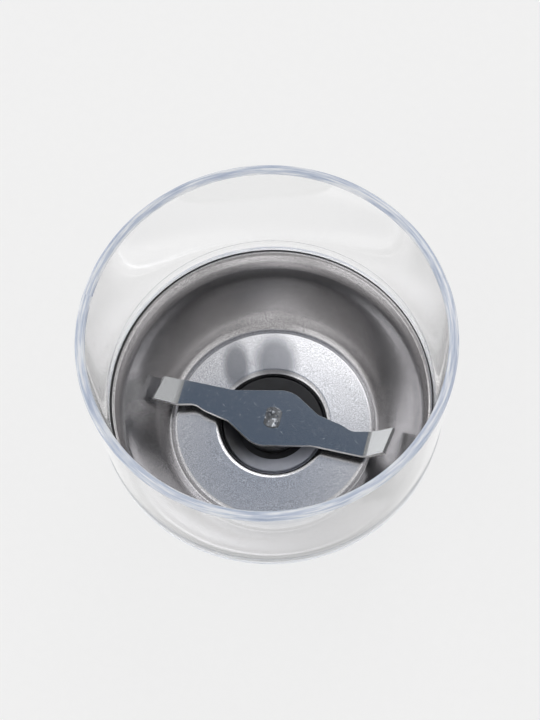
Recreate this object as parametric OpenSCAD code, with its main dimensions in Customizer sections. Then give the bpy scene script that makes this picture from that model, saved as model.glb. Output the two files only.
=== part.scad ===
// Removable grinding cup of an electric coffee grinder.
// A clear wall stands on a drawn steel bowl, a moulded base carries both, and an S-shaped blade
// turns in the middle on a shaft that ends in a drive coupling under the base.
// Millimetres, +Z up. The origin is on the ground under the middle of the cup, the blade lies along X.

/* [Clear wall] */
// Outer radius of the wall at its mouth
wall_mouth_r = 47; // [44:0.5:56]
// Outer radius of the wall at its foot
wall_foot_r = 46; // [44:0.1:50]
// Thickness of the wall at its mouth
wall_mouth_t = 2.5; // [1.6:0.1:4]
// Thickness of the wall at its foot
wall_foot_t = 2.6; // [2.3:0.1:3]
// Height of the wall above the bowl flange
wall_h = 44; // [20:1:80]
// Thickness of the lip that reaches down round the bowl flange
wall_lip_t = 1; // [0.8:0.05:1.4]
// Chamfer at the lower outer edge of that lip
wall_foot_cut = 0.5; // [0.3:0.05:0.6]
// Radius of the two edges of the mouth
wall_edge_round = 0.8; // [0.2:0.1:1]
// Height of the thicker band at the foot of the wall
wall_band_h = 5; // [2:0.5:12]
// Step of that band on the outside of the wall
wall_band_step = 0.15; // [0.1:0.05:0.3]

/* [Steel bowl] */
// Thickness of the drawn sheet
bowl_t = 0.7; // [0.4:0.1:1]
// Width of the flat flange round the bowl
bowl_land = 2.08; // [1.8:0.01:2.4]
// Depth from the flange to the lowest place of the bowl
bowl_depth = 21.7; // [20:0.1:24]
// Lean of the upper bowl wall from upright, in degrees
bowl_lean = 20; // [18:0.5:21]
// Depth from the flange at which the wall turns in to its lower flank
flank_drop = 13; // [12.5:0.1:13.5]
// Share of the flank that the curve above it takes
flank_share = 0.67; // [0.3:0.01:0.7]
// Distance of the foot of the flank outside the raised middle
flank_foot_w = 2.6; // [2.5:0.1:3]
// Share of the flank that the curve below it takes
foot_share = 0.18; // [0.1:0.01:0.2]
// Slope of the bottom down towards the raised middle, in degrees
bottom_slope = 30; // [28:0.5:31]
// Radius of the bend from the flange into the bowl
bowl_rim_round = 2.4; // [2.1:0.1:2.7]
// Distance of the raised middle inside the flat flange
bottom_w = 15.19; // [14.8:0.01:15.6]
// Height of the raised middle above the lowest place
plateau_rise = 1.2; // [1:0.1:1.6]
// Further rise of the crowned middle from its edge to its hole
plateau_crown = 0.5; // [0.3:0.1:0.7]
// Width that the step up to the raised middle takes
plateau_step_w = 0.6; // [0.4:0.1:0.8]
// Radius at the foot of that step
trough_round = 0.6; // [0.3:0.1:0.7]
// Radius at the upper edge of that step
plateau_round = 0.8; // [0.7:0.1:1]
// Radius of the hole in the middle of the bowl
bowl_hole_r = 14.1; // [13.8:0.1:16]
// Radius of the edge that rolls down into the hole
bowl_hole_round = 1.8; // [0.8:0.1:2]
// Depth of the lip round the hole, below the raised middle
bowl_hole_lip = 2.2; // [2:0.1:3]

/* [Base] */
// Height of the bowl flange above the ground
rim_z = 46; // [46:0.5:60]
// Thickness of the shell under the bowl
base_wall = 1.5; // [1.2:0.1:2]
// Lean of that shell from upright, in degrees
shell_lean = 13; // [12.5:0.5:14]
// Clearance between the bowl and the shell
bowl_gap = 0.6; // [0.5:0.1:0.8]
// Thickness of the flange that carries the bowl and the wall
base_flange_t = 2.6; // [1.5:0.1:4]
// Inward taper of that flange from top to bottom
base_flange_taper = 0.6; // [0.2:0.1:0.8]
// Distance of the flange edge inside the foot of the wall
base_flange_inset = 0.6; // [0.6:0.1:0.9]
// Thickness of the deck that carries the bearing housing
deck_t = 3.5; // [2.5:0.1:5]
// Radius on the outside where the shell turns in under the deck
base_round = 7; // [4:0.5:7]

/* [Bayonet ring] */
// Distance of the spigot, which locates in a motor base, inside the foot of the wall
spigot_inset = 15; // [14.5:0.1:17]
// Length of its locating land, up from the ground
spigot_land = 6; // [4:0.5:8]
// Step outwards above the locating land
spigot_step = 0.4; // [0.2:0.1:0.6]
// Wall thickness of the spigot
spigot_wall = 2.2; // [1.6:0.1:3]
// Count of the bayonet lugs
lug_n = 3; // [2:1:4]
// Width of a lug round the spigot, in degrees
lug_angle = 28; // [16:1:40]
// Reach of a lug out from the spigot
lug_reach = 2.6; // [1.5:0.1:3]
// Height of a lug
lug_h = 3.6; // [2.5:0.1:5]
// Gap under a lug, above the locating land
lug_lift = 1.4; // [0.5:0.1:2]

/* [Bottom plate] */
// Thickness of the plate
plate_t = 2.6; // [2.5:0.1:3]
// Height of the plate above the ground
plate_lift = 0.6; // [0.3:0.1:1]
// Width of the plate, from the bayonet ring to the well that the drive comes up through
plate_w = 10.8; // [10:0.1:11.2]
// Count of the screws
screw_n = 4; // [3:1:6]
// Radius of a screw shank
screw_r = 1.4; // [1.2:0.1:1.6]
// Radius of a screw head
screw_head_r = 2.7; // [2.4:0.1:3]
// Height of a screw head
screw_head_h = 1.5; // [1.2:0.1:1.8]
// Length of a screw under its head
screw_len = 9; // [6:0.5:10]
// Radius of the boss that takes a screw
boss_r = 3.4; // [3:0.1:3.8]
// Thickness of the rib that joins a boss to the bayonet ring
boss_rib_t = 2; // [1.5:0.1:3]

/* [Bearing housing] */
// Radius of the plug that shows in the bowl hole
plug_r = 13.5; // [13:0.1:13.7]
// Height of the plug edge above the sealing flange
plug_edge_h = 2.7; // [2.4:0.1:2.9]
// Fall of the dished ring towards the middle
ring_fall = 0.3; // [0.2:0.1:0.8]
// Radius of the recess inside the ring
recess_r = 10.3; // [9.8:0.1:11]
// Height of the recess floor above the sealing flange
recess_floor_h = 1; // [0.8:0.1:1.2]
// Radius of the sealing flange under the bowl
housing_flange_r = 19; // [18:0.5:21]
// Thickness of the sealing flange
housing_flange_t = 2.9; // [2:0.1:4]
// Outer radius of the barrel below the flange
barrel_r = 9.4; // [8.5:0.1:10]
// Length of the barrel below the deck
barrel_drop = 5.7; // [5.5:0.1:7]
// Outer radius of the washer under the deck
housing_washer_r = 13; // [12:0.1:14]
// Thickness of that washer
housing_washer_t = 1; // [0.6:0.1:1.4]
// Size of the nut across its flats
nut_flats = 26; // [24:0.5:27]
// Height of the nut
nut_h = 4.2; // [3:0.1:4.4]

/* [Shaft and bearings] */
// Radius of the shaft
shaft_r = 3; // [2.5:0.1:3.5]
// Outer radius of the two bushes
bush_r = 5; // [4.5:0.1:5.3]
// Length of the upper bush
upper_bush_l = 5; // [4:0.1:6]
// Length of the lower bush
lower_bush_l = 4; // [3:0.1:5]
// Outer radius of the shaft seal
seal_r = 5.6; // [5.4:0.1:5.8]
// Height of the shaft seal
seal_h = 2; // [1.5:0.1:2.4]
// Outer radius of the upper thrust washer
upper_washer_r = 8.4; // [7.5:0.1:8.7]
// Outer radius of the lower thrust washer
lower_washer_r = 6; // [5:0.1:7]
// Thickness of a thrust washer
thrust_washer_t = 0.55; // [0.4:0.05:0.8]
// Outer radius of the retaining clip
clip_r = 5; // [4.5:0.1:6]
// Thickness of the retaining clip
clip_t = 0.6; // [0.5:0.05:0.8]
// Depth of the clip groove in the shaft
clip_groove = 0.5; // [0.3:0.05:0.7]

/* [Blade] */
// Thickness of the blade sheet
blade_t = 1.3; // [1:0.1:1.6]
// Height of the blade top above the raised middle of the bowl
blade_lift = 4.5; // [4:0.1:7]
// Distance of the start of the bend inside the edge of the raised middle
blade_inset = 0.9; // [0:0.1:2]
// Half width of the blade at its crown, before the corner is rounded
crown_w = 9; // [8.4:0.1:10]
// Distance of the crown from the middle of the blade
crown_x = 3.2; // [2:0.1:5]
// Radius of the crown
crown_round = 12; // [6:0.5:13]
// Distance from the middle to the neck, where a wing begins
neck_x = 12; // [11:0.1:13]
// Distance of the leading edge from the middle line, at the neck
neck_w = 3.7; // [3:0.1:4.5]
// Radius at the neck
neck_round = 5; // [2:0.5:8]
// Distance from the bend to the hip, the last bulge of the leading edge
hip_back = 7.4; // [7:0.1:8.4]
// Distance of the leading edge from the middle line, at the hip
hip_w = 2.3; // [1.8:0.1:2.8]
// Radius at the hip
hip_round = 8; // [3:0.5:9]
// Distance from the bend to the waist, the narrowest place of a wing
waist_back = 4.8; // [4.2:0.1:5.2]
// Distance of the leading edge from the middle line, at the waist
waist_w = 1.1; // [0.8:0.1:1.6]
// Radius at the waist
waist_round = 4; // [2:0.5:5]
// Distance of the leading edge from the middle line, at the bend
wing_lead_w = 2.2; // [1.8:0.1:3]
// Distance from the middle to where the trailing edge runs straight
trail_x = 12.6; // [11:0.1:14]
// Distance of the trailing edge from the middle line, where it runs straight
trail_w = 5.35; // [5.1:0.05:6]
// Radius where the trailing edge turns straight
trail_round = 13; // [6:0.5:16]
// Distance of the trailing edge from the middle line, at the bend
wing_trail_w = 5.1; // [4.5:0.1:5.4]
// Radius of the outline where a wing turns into its tip
bend_round = 3; // [1:0.5:6]
// Angle that a tip is bent up, in degrees
tip_angle = 35; // [20:1:55]
// Radius of the bend, on its inner side
tip_bend_r = 2; // [1.2:0.1:3]
// Length of a tip past its bend
tip_len = 5.5; // [3:0.1:7]
// Sideways skew of a tip over its length
tip_skew = 1.4; // [0:0.1:2]
// Slant of the tip end, from one corner to the other
tip_slant = 1.5; // [0:0.1:2.5]
// Width across the flats of the shaft end that goes through the blade
tenon_w = 3.8; // [3:0.1:4.2]
// Radius of that shaft end
tenon_r = 2.7; // [2.4:0.05:2.8]
// Growth of the peened head all round
head_grow = 0.27; // [0.15:0.01:0.35]
// Height of the peened head
head_h = 0.55; // [0.3:0.05:1]
// Radius of the collar under the blade
collar_r = 8.8; // [8.6:0.1:9.4]
// Height of the full width of the collar
collar_head_h = 1.8; // [1:0.1:2.4]
// Radius of the lower part of the collar
collar_hub_r = 8.2; // [7:0.1:8.5]

/* [Drive coupling] */
// Outer radius of the coupling
coupling_r = 11; // [9.5:0.1:11.2]
// Thickness of the coupling disc
coupling_disc_t = 3; // [2.6:0.1:3.2]
// Gap between the clip and the coupling
coupling_gap = 0.6; // [0.3:0.1:1]
// Count of the driving dogs
dog_n = 6; // [3:1:8]
// Width of a dog, in degrees
dog_angle = 26; // [16:1:32]
// Inner radius of the dogs
dog_in_r = 6.8; // [6:0.1:8]
// Distance of the dogs inside the edge of the disc
dog_inset = 0.4; // [0.2:0.1:0.8]
// Height of a dog
dog_h = 3.9; // [2.5:0.1:4]
// Radius of the pin through the coupling and the shaft
pin_r = 0.8; // [0.6:0.05:1]
// Distance of the pin ends inside the coupling edge
pin_inset = 0.6; // [0.3:0.1:1.5]

/* [Seals and clearances] */
// Thickness of the ring on the bowl flange
rim_gasket_t = 0.5; // [0.4:0.1:1]
// Thickness of the ring under the bowl hole
housing_gasket_t = 0.9; // [0.6:0.1:1.2]
// Radial clearance of parts that are pressed or seated together
seat_gap = 0.03; // [0.02:0.01:0.05]
// Radial clearance of the shaft in its bushes
running_gap = 0.04; // [0.02:0.01:0.08]
// Clearance along the axis between what turns and what stands
thrust_gap = 0.06; // [0.04:0.01:0.2]
// Clearance of parts that are dropped into place
drop_gap = 0.15; // [0.1:0.05:0.3]
// Radius of the small broken edges of mouldings
edge_round = 0.5; // [0.2:0.1:0.6]

/* [Hidden] */
// Segments of a whole circle and of one rounded corner
$fn = 96;
corner_steps = 8;

// Length by which a cutting tool runs past the face that it cuts
past = 1;

// Heights of the stack, from the bowl flange down to the coupling
trough_z = rim_z - bowl_depth;
plateau_z = trough_z + plateau_rise;
hole_lip_z = plateau_z - bowl_hole_lip;
housing_flange_z = hole_lip_z - housing_gasket_t;
deck_z = housing_flange_z - housing_flange_t;
deck_under_z = deck_z - deck_t;
recess_z = housing_flange_z + recess_floor_h;
barrel_z = deck_under_z - barrel_drop;
seal_z = recess_z - seal_h;
upper_bush_z = seal_z - upper_bush_l;
lower_bush_z = barrel_z;
felt_z = lower_bush_z + lower_bush_l;
lower_washer_z = barrel_z - thrust_gap - thrust_washer_t;
clip_z = lower_washer_z - clip_t;
coupling_top_z = clip_z - coupling_gap;
coupling_disc_z = coupling_top_z - coupling_disc_t;
dog_z = coupling_disc_z - dog_h;

// Heights above the raised middle
blade_top_z = plateau_z + blade_lift;
blade_under_z = blade_top_z - blade_t;
collar_z = recess_z + thrust_washer_t + thrust_gap;
mouth_z = rim_z + wall_h;

// Heights of the sandwich at the rim
wall_seat_z = rim_z + rim_gasket_t;
base_top_z = rim_z - bowl_t;
base_flange_under_z = base_top_z - base_flange_t;
bowl_flange_r = wall_foot_r - wall_lip_t - seat_gap;
base_flange_r = wall_foot_r - base_flange_inset;

// Radii of the bowl, from the flange in
land_in_r = bowl_flange_r - bowl_land;
bowl_mouth_r = land_in_r - bowl_rim_round * tan((90 - bowl_lean) / 2);
plateau_r = land_in_r - bottom_w;
step_foot_r = plateau_r + plateau_step_w;

// Flank of the bowl and the two curves that meet it
flank_top = [bowl_mouth_r - flank_drop * tan(bowl_lean), rim_z - flank_drop];
flank_foot = [step_foot_r + flank_foot_w, trough_z + flank_foot_w * tan(bottom_slope)];
flank_l = norm(flank_top - flank_foot);
flank_angle = atan2(flank_top.y - flank_foot.y, flank_top.x - flank_foot.x);
flank_r = flank_share * flank_l / tan((90 - bowl_lean - flank_angle) / 2);
foot_r = foot_share * flank_l / tan((flank_angle - bottom_slope) / 2);

// Radii of the bayonet ring and the plate in it
spigot_r = wall_foot_r - spigot_inset;
spigot_in_r = spigot_r - spigot_wall;
spigot_top_r = spigot_r + spigot_step;
well_r = spigot_in_r - plate_w;
screw_circle_r = (well_r + spigot_in_r) / 2;

// Places along the blade
blade_flat_l = plateau_r - blade_inset;
hip_x = blade_flat_l - hip_back;
waist_x = blade_flat_l - waist_back;

// Holes and their clearances
barrel_hole_r = barrel_r + drop_gap;
pilot_r = screw_r + seat_gap;
plate_top_z = plate_lift + plate_t;
lug_z = spigot_land + lug_lift;

// Geometry of rounded outlines
function unit(v) = v / norm(v);
function left_of(a, b) = [-unit(b - a).y, unit(b - a).x];
function near_turn(a) = a > 180 ? a - 360 : a < -180 ? a + 360 : a;

// Arc of radius r that rounds the corner b between its neighbours a and c
function corner(a, b, c, r) = r <= 0 ? [b] :
    let (u = unit(a - b), v = unit(c - b), half = acos(u * v) / 2)
    let (mid = b + unit(u + v) * r / sin(half), reach = r / tan(half))
    let (from = b + u * reach - mid, to = b + v * reach - mid)
    let (start = atan2(from.y, from.x), sweep = near_turn(atan2(to.y, to.x) - start))
    [for (i = [0:corner_steps]) mid + r * [cos(start + sweep * i / corner_steps),
        sin(start + sweep * i / corner_steps)]];

// Open path and closed loop through corners p, each rounded by its own radius in r
function round_path(p, r) = [for (i = [0:len(p) - 1])
    each i == 0 || i == len(p) - 1 ? [p[i]] : corner(p[i - 1], p[i], p[i + 1], r[i])];
function round_loop(p, r) = [for (i = [0:len(p) - 1])
    each corner(p[(i + len(p) - 1) % len(p)], p[i], p[(i + 1) % len(p)], r[i])];

// The same open path moved t to its left, with radii that keep the sheet even
function shift_point(p, i, t) =
    i == 0 ? p[0] + t * left_of(p[0], p[1]) :
    i == len(p) - 1 ? p[i] + t * left_of(p[i - 1], p[i]) :
    let (m = left_of(p[i - 1], p[i]), n = left_of(p[i], p[i + 1])) p[i] + t * (m + n) / (1 + m * n);
function shift_path(p, t) = [for (i = [0:len(p) - 1]) shift_point(p, i, t)];
function shift_radii(p, r, t) = [for (i = [0:len(p) - 1]) i == 0 || i == len(p) - 1 ? 0 :
    max(0, r[i] - t * sign(cross(p[i] - p[i - 1], p[i + 1] - p[i])))];
function reversed(p) = [for (i = [len(p) - 1:-1:0]) p[i]];

// Radius at height z of the line along which the shell leans, moved out by a wall of thickness t
function shell_r(z, t) = bowl_mouth_r - (rim_z - z) * tan(shell_lean) + t / cos(shell_lean);

// Ring of height h on radius r, with a hole
module ring(r, hole_r, z, h) {
    translate([0, 0, z])
        difference() {
            cylinder(r = r, h = h);
            translate([0, 0, -past])
                cylinder(r = hole_r, h = h + 2 * past);
        }
}

// Copies on a circle of radius r
module around(n, r) {
    for (i = [0:n - 1])
        rotate([0, 0, 360 * i / n])
            translate([r, 0, 0])
                children();
}

// Round bar with two flats
module flatted_bar(r, w, z, h) {
    translate([0, 0, z])
        intersection() {
            cylinder(r = r, h = h);
            translate([-w / 2, -r - past, -past])
                cube([w, 2 * (r + past), h + 2 * past]);
        }
}

// Clear moulded wall, with a lip round the bowl flange and a shallow band at its foot
module clear_wall() {
    band_r = wall_foot_r - wall_band_step;
    points = [
        [wall_foot_r - wall_lip_t, base_top_z],
        [wall_foot_r - wall_foot_cut, base_top_z],
        [wall_foot_r, base_top_z + 2 * wall_foot_cut],
        [wall_foot_r, base_top_z + wall_band_h],
        [band_r, base_top_z + wall_band_h + wall_band_step],
        [wall_mouth_r, mouth_z],
        [wall_mouth_r - wall_mouth_t, mouth_z],
        [wall_foot_r - wall_foot_t, wall_seat_z],
        [wall_foot_r - wall_lip_t, wall_seat_z]
    ];
    radii = [0, 0, 0, 0, 0, wall_edge_round, wall_edge_round, 0, 0];
    color([0.86, 0.9, 0.94, 0.4])
        rotate_extrude()
            polygon(round_loop(points, radii));
}

// Bowl drawn from one sheet: flange, curved wall, trough, raised middle and rolled hole
module steel_bowl() {
    points = [
        [bowl_flange_r, rim_z],
        [bowl_mouth_r, rim_z],
        flank_top,
        flank_foot,
        [step_foot_r, trough_z],
        [plateau_r, plateau_z],
        [bowl_hole_r, plateau_z + plateau_crown],
        [bowl_hole_r, hole_lip_z]
    ];
    radii = [0, bowl_rim_round, flank_r, foot_r, trough_round, plateau_round, bowl_hole_round, 0];
    under = shift_path(points, bowl_t);
    under_radii = shift_radii(points, radii, bowl_t);
    color("silver")
        rotate_extrude()
            polygon(concat(round_path(points, radii), reversed(round_path(under, under_radii))));
}

// Silicone ring between the bowl flange and the clear wall: its inner edge shows as a thin dark line
module rim_gasket() {
    color([0.12, 0.12, 0.13])
        ring(bowl_flange_r, land_in_r, rim_z, rim_gasket_t);
}

// Moulded base: flange, shell under the bowl, and the deck that carries the bearing housing
module cup_base() {
    shell_gap = bowl_t + bowl_gap;
    shell_out = shell_gap + base_wall;
    points = [
        [base_flange_r, base_top_z],
        [base_flange_r - base_flange_taper, base_flange_under_z],
        [shell_r(base_flange_under_z, shell_out), base_flange_under_z],
        [shell_r(deck_under_z, shell_out), deck_under_z],
        [barrel_hole_r, deck_under_z],
        [barrel_hole_r, deck_z],
        [shell_r(deck_z, shell_gap), deck_z],
        [land_in_r, base_top_z]
    ];
    radii = [0, edge_round, base_wall, base_round, 0, 0, base_round - base_wall, 0];
    color([0.72, 0.73, 0.74])
        rotate_extrude()
            polygon(round_loop(points, radii));
}

// Ring under the deck: spigot with its locating land, bayonet lugs and screw bosses
module bayonet_ring() {
    points = [
        [spigot_top_r, deck_under_z],
        [spigot_top_r, spigot_land],
        [spigot_r, spigot_land],
        [spigot_r, 0],
        [spigot_in_r, 0],
        [spigot_in_r, deck_under_z]
    ];
    radii = [0, 0, 0, edge_round, 0, 0];
    color([0.68, 0.69, 0.7])
        difference() {
            union() {
                rotate_extrude()
                    polygon(round_loop(points, radii));
                around(screw_n, screw_circle_r)
                    screw_boss();
                for (i = [0:lug_n - 1])
                    rotate([0, 0, 360 * i / lug_n - lug_angle / 2])
                        bayonet_lug();
            }
            around(screw_n, screw_circle_r)
                translate([0, 0, plate_top_z - past])
                    cylinder(r = pilot_r, h = screw_len - plate_t + screw_head_h + past);
        }
}

// Boss that takes a screw, with a rib out to the ring
module screw_boss() {
    boss_h = deck_under_z - plate_top_z;
    translate([0, 0, plate_top_z]) {
        cylinder(r = boss_r, h = boss_h);
        translate([0, -boss_rib_t / 2, 0])
            cube([spigot_in_r - screw_circle_r + spigot_wall / 2, boss_rib_t, boss_h]);
    }
}

// One lug, with a lead-in slope on its upper outer edge
module bayonet_lug() {
    root_r = spigot_top_r - spigot_wall / 2;
    tip_r = spigot_top_r + lug_reach;
    rotate_extrude(angle = lug_angle)
        polygon([
            [root_r, lug_z],
            [tip_r, lug_z],
            [tip_r, lug_z + lug_h - lug_reach / 2],
            [tip_r - lug_reach / 2, lug_z + lug_h],
            [root_r, lug_z + lug_h]
        ]);
}

// Plate that closes the space round the drive well, with sunk screw holes
module base_plate() {
    color([0.68, 0.69, 0.7])
        difference() {
            ring(spigot_in_r - drop_gap, well_r, plate_lift, plate_t);
            around(screw_n, screw_circle_r) {
                translate([0, 0, plate_lift - past])
                    cylinder(r = screw_head_r + drop_gap, h = screw_head_h + past);
                translate([0, 0, plate_lift])
                    cylinder(r = screw_r + drop_gap, h = plate_t + past);
            }
        }
}

// Screws of the bottom plate, heads down
module base_screws() {
    color("gainsboro")
        around(screw_n, screw_circle_r)
            translate([0, 0, plate_lift]) {
                cylinder(r = screw_head_r, h = screw_head_h);
                translate([0, 0, screw_head_h])
                    cylinder(r = screw_r, h = screw_len);
            }
}

// Black moulded housing: plug with a dished ring that shows, sealing flange, barrel with its bores
module bearing_housing() {
    ring_z = housing_flange_z + plug_edge_h;
    bush_hole_r = bush_r + seat_gap;
    seal_hole_r = seal_r + seat_gap;
    points = [
        [bush_hole_r, barrel_z],
        [barrel_r, barrel_z],
        [barrel_r, deck_z],
        [housing_flange_r, deck_z],
        [housing_flange_r, housing_flange_z],
        [plug_r, housing_flange_z],
        [plug_r, ring_z],
        [recess_r, ring_z - ring_fall],
        [recess_r, recess_z],
        [seal_hole_r, recess_z],
        [seal_hole_r, seal_z],
        [bush_hole_r, seal_z]
    ];
    radii = [0, edge_round, 0, 0, edge_round, 0, edge_round, edge_round / 4, 0, 0, 0, 0];
    color([0.08, 0.08, 0.09])
        rotate_extrude()
            polygon(round_loop(points, radii));
}

// Silicone ring that the lip of the bowl hole presses on
module housing_gasket() {
    color([0.2, 0.2, 0.21])
        ring(housing_flange_r - edge_round, plug_r + seat_gap, housing_flange_z, housing_gasket_t);
}

// Steel washer under the deck
module housing_washer() {
    color("gainsboro")
        ring(housing_washer_r, barrel_hole_r, deck_under_z - housing_washer_t, housing_washer_t);
}

// Thin hexagon nut that draws the housing down on the deck
module housing_nut() {
    color("silver")
        difference() {
            translate([0, 0, deck_under_z - housing_washer_t - nut_h])
                cylinder(r = nut_flats / 2 / cos(30), h = nut_h, $fn = 6);
            translate([0, 0, deck_under_z - housing_washer_t - nut_h - past])
                cylinder(r = barrel_r + seat_gap, h = nut_h + 2 * past);
        }
}

// Sintered bronze bushes
module upper_bush() {
    color("peru")
        ring(bush_r, shaft_r + running_gap, upper_bush_z, upper_bush_l);
}

module lower_bush() {
    color("peru")
        ring(bush_r, shaft_r + running_gap, lower_bush_z, lower_bush_l);
}

// Felt ring that holds oil between the bushes
module oil_felt() {
    color("tan")
        ring(bush_r, shaft_r + drop_gap, felt_z, upper_bush_z - felt_z);
}

// Rubber seal in the mouth of the housing, with a hollow under its lip
module shaft_seal() {
    lip_t = seal_h / 3;
    points = [
        [shaft_r + running_gap, seal_z + seal_h - lip_t],
        [seal_r - lip_t, seal_z + seal_h - lip_t],
        [seal_r - lip_t, seal_z],
        [seal_r, seal_z],
        [seal_r, seal_z + seal_h],
        [shaft_r + running_gap, seal_z + seal_h]
    ];
    color([0.12, 0.12, 0.12])
        rotate_extrude()
            polygon(points);
}

// Nylon washer that the collar runs on
module upper_thrust_washer() {
    color([0.2, 0.2, 0.21])
        ring(upper_washer_r, seal_r, recess_z, thrust_washer_t);
}

// Steel shaft: clip groove, pin hole, flatted end through the blade and its peened head
module drive_shaft() {
    color("lightsteelblue")
        difference() {
            union() {
                translate([0, 0, coupling_disc_z])
                    cylinder(r = shaft_r, h = blade_under_z - coupling_disc_z);
                flatted_bar(tenon_r, tenon_w, blade_under_z - past, blade_t + past);
                flatted_bar(tenon_r + head_grow, tenon_w + 2 * head_grow, blade_top_z, head_h);
            }
            ring(shaft_r + past, shaft_r - clip_groove, clip_z - seat_gap, clip_t + 2 * seat_gap);
            cross_hole(pin_r + seat_gap, 2 * shaft_r);
        }
}

// Bar along X through the coupling disc
module cross_hole(r, half_l) {
    translate([-half_l, 0, coupling_disc_z + coupling_disc_t / 2])
        rotate([0, 90, 0])
            cylinder(r = r, h = 2 * half_l);
}

// Stamped S-shaped blade: a strip with both ends bent up, cut to the outline of two trailing wings
module blade() {
    color("lightslategray")
        difference() {
            intersection() {
                translate([0, crown_w, 0])
                    rotate([90, 0, 0])
                        linear_extrude(height = 2 * crown_w)
                            polygon(strip_section());
                translate([0, 0, blade_under_z - past])
                    linear_extrude(height = strip_rise() + blade_t + 2 * past)
                        polygon(blade_outline());
            }
            flatted_bar(tenon_r + seat_gap, tenon_w + 2 * seat_gap, blade_under_z - past, blade_t + 2 * past);
        }
}

// Place along the blade, and rise above it, of a point s past the bend
function tip_x(s) = blade_flat_l + tip_bend_r * sin(tip_angle) + s * cos(tip_angle);
function tip_rise(s) = tip_bend_r * (1 - cos(tip_angle)) + s * sin(tip_angle);
function strip_rise() = tip_rise(tip_len + tip_slant);

// Side view of the bent strip: its upper face, then its lower face back again
function strip_section() =
    let (end = tip_len + tip_slant / 2, bend_x = blade_flat_l + tip_bend_r * tan(tip_angle / 2))
    let (upper = [
        [-tip_x(end), blade_top_z + tip_rise(end)],
        [-bend_x, blade_top_z],
        [bend_x, blade_top_z],
        [tip_x(end), blade_top_z + tip_rise(end)]
    ])
    let (radii = [0, tip_bend_r, tip_bend_r, 0])
    let (lower = shift_path(upper, -blade_t), lower_radii = shift_radii(upper, radii, -blade_t))
    concat(round_path(upper, radii), reversed(round_path(lower, lower_radii)));

// Leading edge of one wing from its slanted tip to the crown, then the trailing edge of the other wing
function wing_edges() = [
    [tip_x(tip_len + tip_slant / 2) + blade_t, wing_lead_w + tip_skew],
    [blade_flat_l, wing_lead_w],
    [waist_x, waist_w],
    [hip_x, hip_w],
    [neck_x, neck_w],
    [crown_x, crown_w],
    [-trail_x, trail_w],
    [-blade_flat_l, wing_trail_w],
    [-tip_x(tip_len - tip_slant / 2), wing_trail_w - tip_skew]
];

// Corner radii of those edges
function wing_radii() =
    [0, bend_round, waist_round, hip_round, neck_round, crown_round, trail_round, bend_round, 0];

function blade_outline() =
    let (edge = round_path(wing_edges(), wing_radii()))
    concat(edge, [for (p = edge) -p]);

// Collar between the blade and its thrust washer
module blade_collar() {
    color([0.16, 0.16, 0.17])
        union() {
            ring(collar_hub_r, shaft_r + seat_gap, collar_z, blade_under_z - collar_head_h - collar_z);
            ring(collar_r, shaft_r + seat_gap, blade_under_z - collar_head_h, collar_head_h);
        }
}

// Nylon washer on the clip, under the lower bush
module lower_thrust_washer() {
    color("ivory")
        ring(lower_washer_r, shaft_r + seat_gap, lower_washer_z, thrust_washer_t);
}

// Open spring clip in the shaft groove
module retaining_clip() {
    color("dimgray")
        difference() {
            ring(clip_r, shaft_r - clip_groove + seat_gap, clip_z, clip_t);
            translate([0, -shaft_r / 2, clip_z - past])
                cube([clip_r + past, shaft_r, clip_t + 2 * past]);
        }
}

// Moulded coupling: a disc on the shaft with dogs that face down
module drive_coupling() {
    color([0.2, 0.2, 0.22])
        difference() {
            union() {
                translate([0, 0, coupling_disc_z])
                    cylinder(r = coupling_r, h = coupling_disc_t);
                for (i = [0:dog_n - 1])
                    rotate([0, 0, 360 * i / dog_n - dog_angle / 2])
                        rotate_extrude(angle = dog_angle)
                            translate([dog_in_r, dog_z])
                                square([coupling_r - dog_inset - dog_in_r, dog_h + edge_round]);
            }
            translate([0, 0, coupling_disc_z - past])
                cylinder(r = shaft_r + seat_gap, h = coupling_disc_t + 2 * past);
            cross_hole(pin_r + seat_gap, coupling_r + past);
        }
}

// Pin through the coupling and the shaft
module coupling_pin() {
    color("gray")
        cross_hole(pin_r, coupling_r - pin_inset);
}

clear_wall();
steel_bowl();
rim_gasket();
cup_base();
bayonet_ring();
base_plate();
base_screws();
bearing_housing();
housing_gasket();
housing_washer();
housing_nut();
upper_bush();
lower_bush();
oil_felt();
shaft_seal();
upper_thrust_washer();
drive_shaft();
blade();
blade_collar();
lower_thrust_washer();
retaining_clip();
drive_coupling();
coupling_pin();
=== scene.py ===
"""Looks of the grinding cup of an electric coffee grinder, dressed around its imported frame.

Metres, +Z up. The cup stands on the ground at the origin, and its blade lies along X at rest.
"""
import math

import bmesh
import bpy
from mathutils import Matrix, Vector


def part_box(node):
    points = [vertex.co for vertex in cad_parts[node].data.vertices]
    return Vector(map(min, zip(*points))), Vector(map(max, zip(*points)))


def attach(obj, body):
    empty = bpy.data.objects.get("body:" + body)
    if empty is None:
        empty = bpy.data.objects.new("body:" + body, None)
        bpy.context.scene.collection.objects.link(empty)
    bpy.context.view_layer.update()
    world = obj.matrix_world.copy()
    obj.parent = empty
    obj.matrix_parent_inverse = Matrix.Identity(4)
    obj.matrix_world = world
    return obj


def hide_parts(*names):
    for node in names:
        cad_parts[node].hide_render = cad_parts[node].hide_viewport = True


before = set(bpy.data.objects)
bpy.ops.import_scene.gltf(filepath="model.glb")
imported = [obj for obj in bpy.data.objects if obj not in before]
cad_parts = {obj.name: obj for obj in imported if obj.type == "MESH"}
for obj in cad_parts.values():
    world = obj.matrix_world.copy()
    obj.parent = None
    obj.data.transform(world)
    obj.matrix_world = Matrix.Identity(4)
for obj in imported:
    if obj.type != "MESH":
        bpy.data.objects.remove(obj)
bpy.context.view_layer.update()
scene = bpy.context.scene

MM = 0.001
UP = Vector((0, 0, 1))

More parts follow.
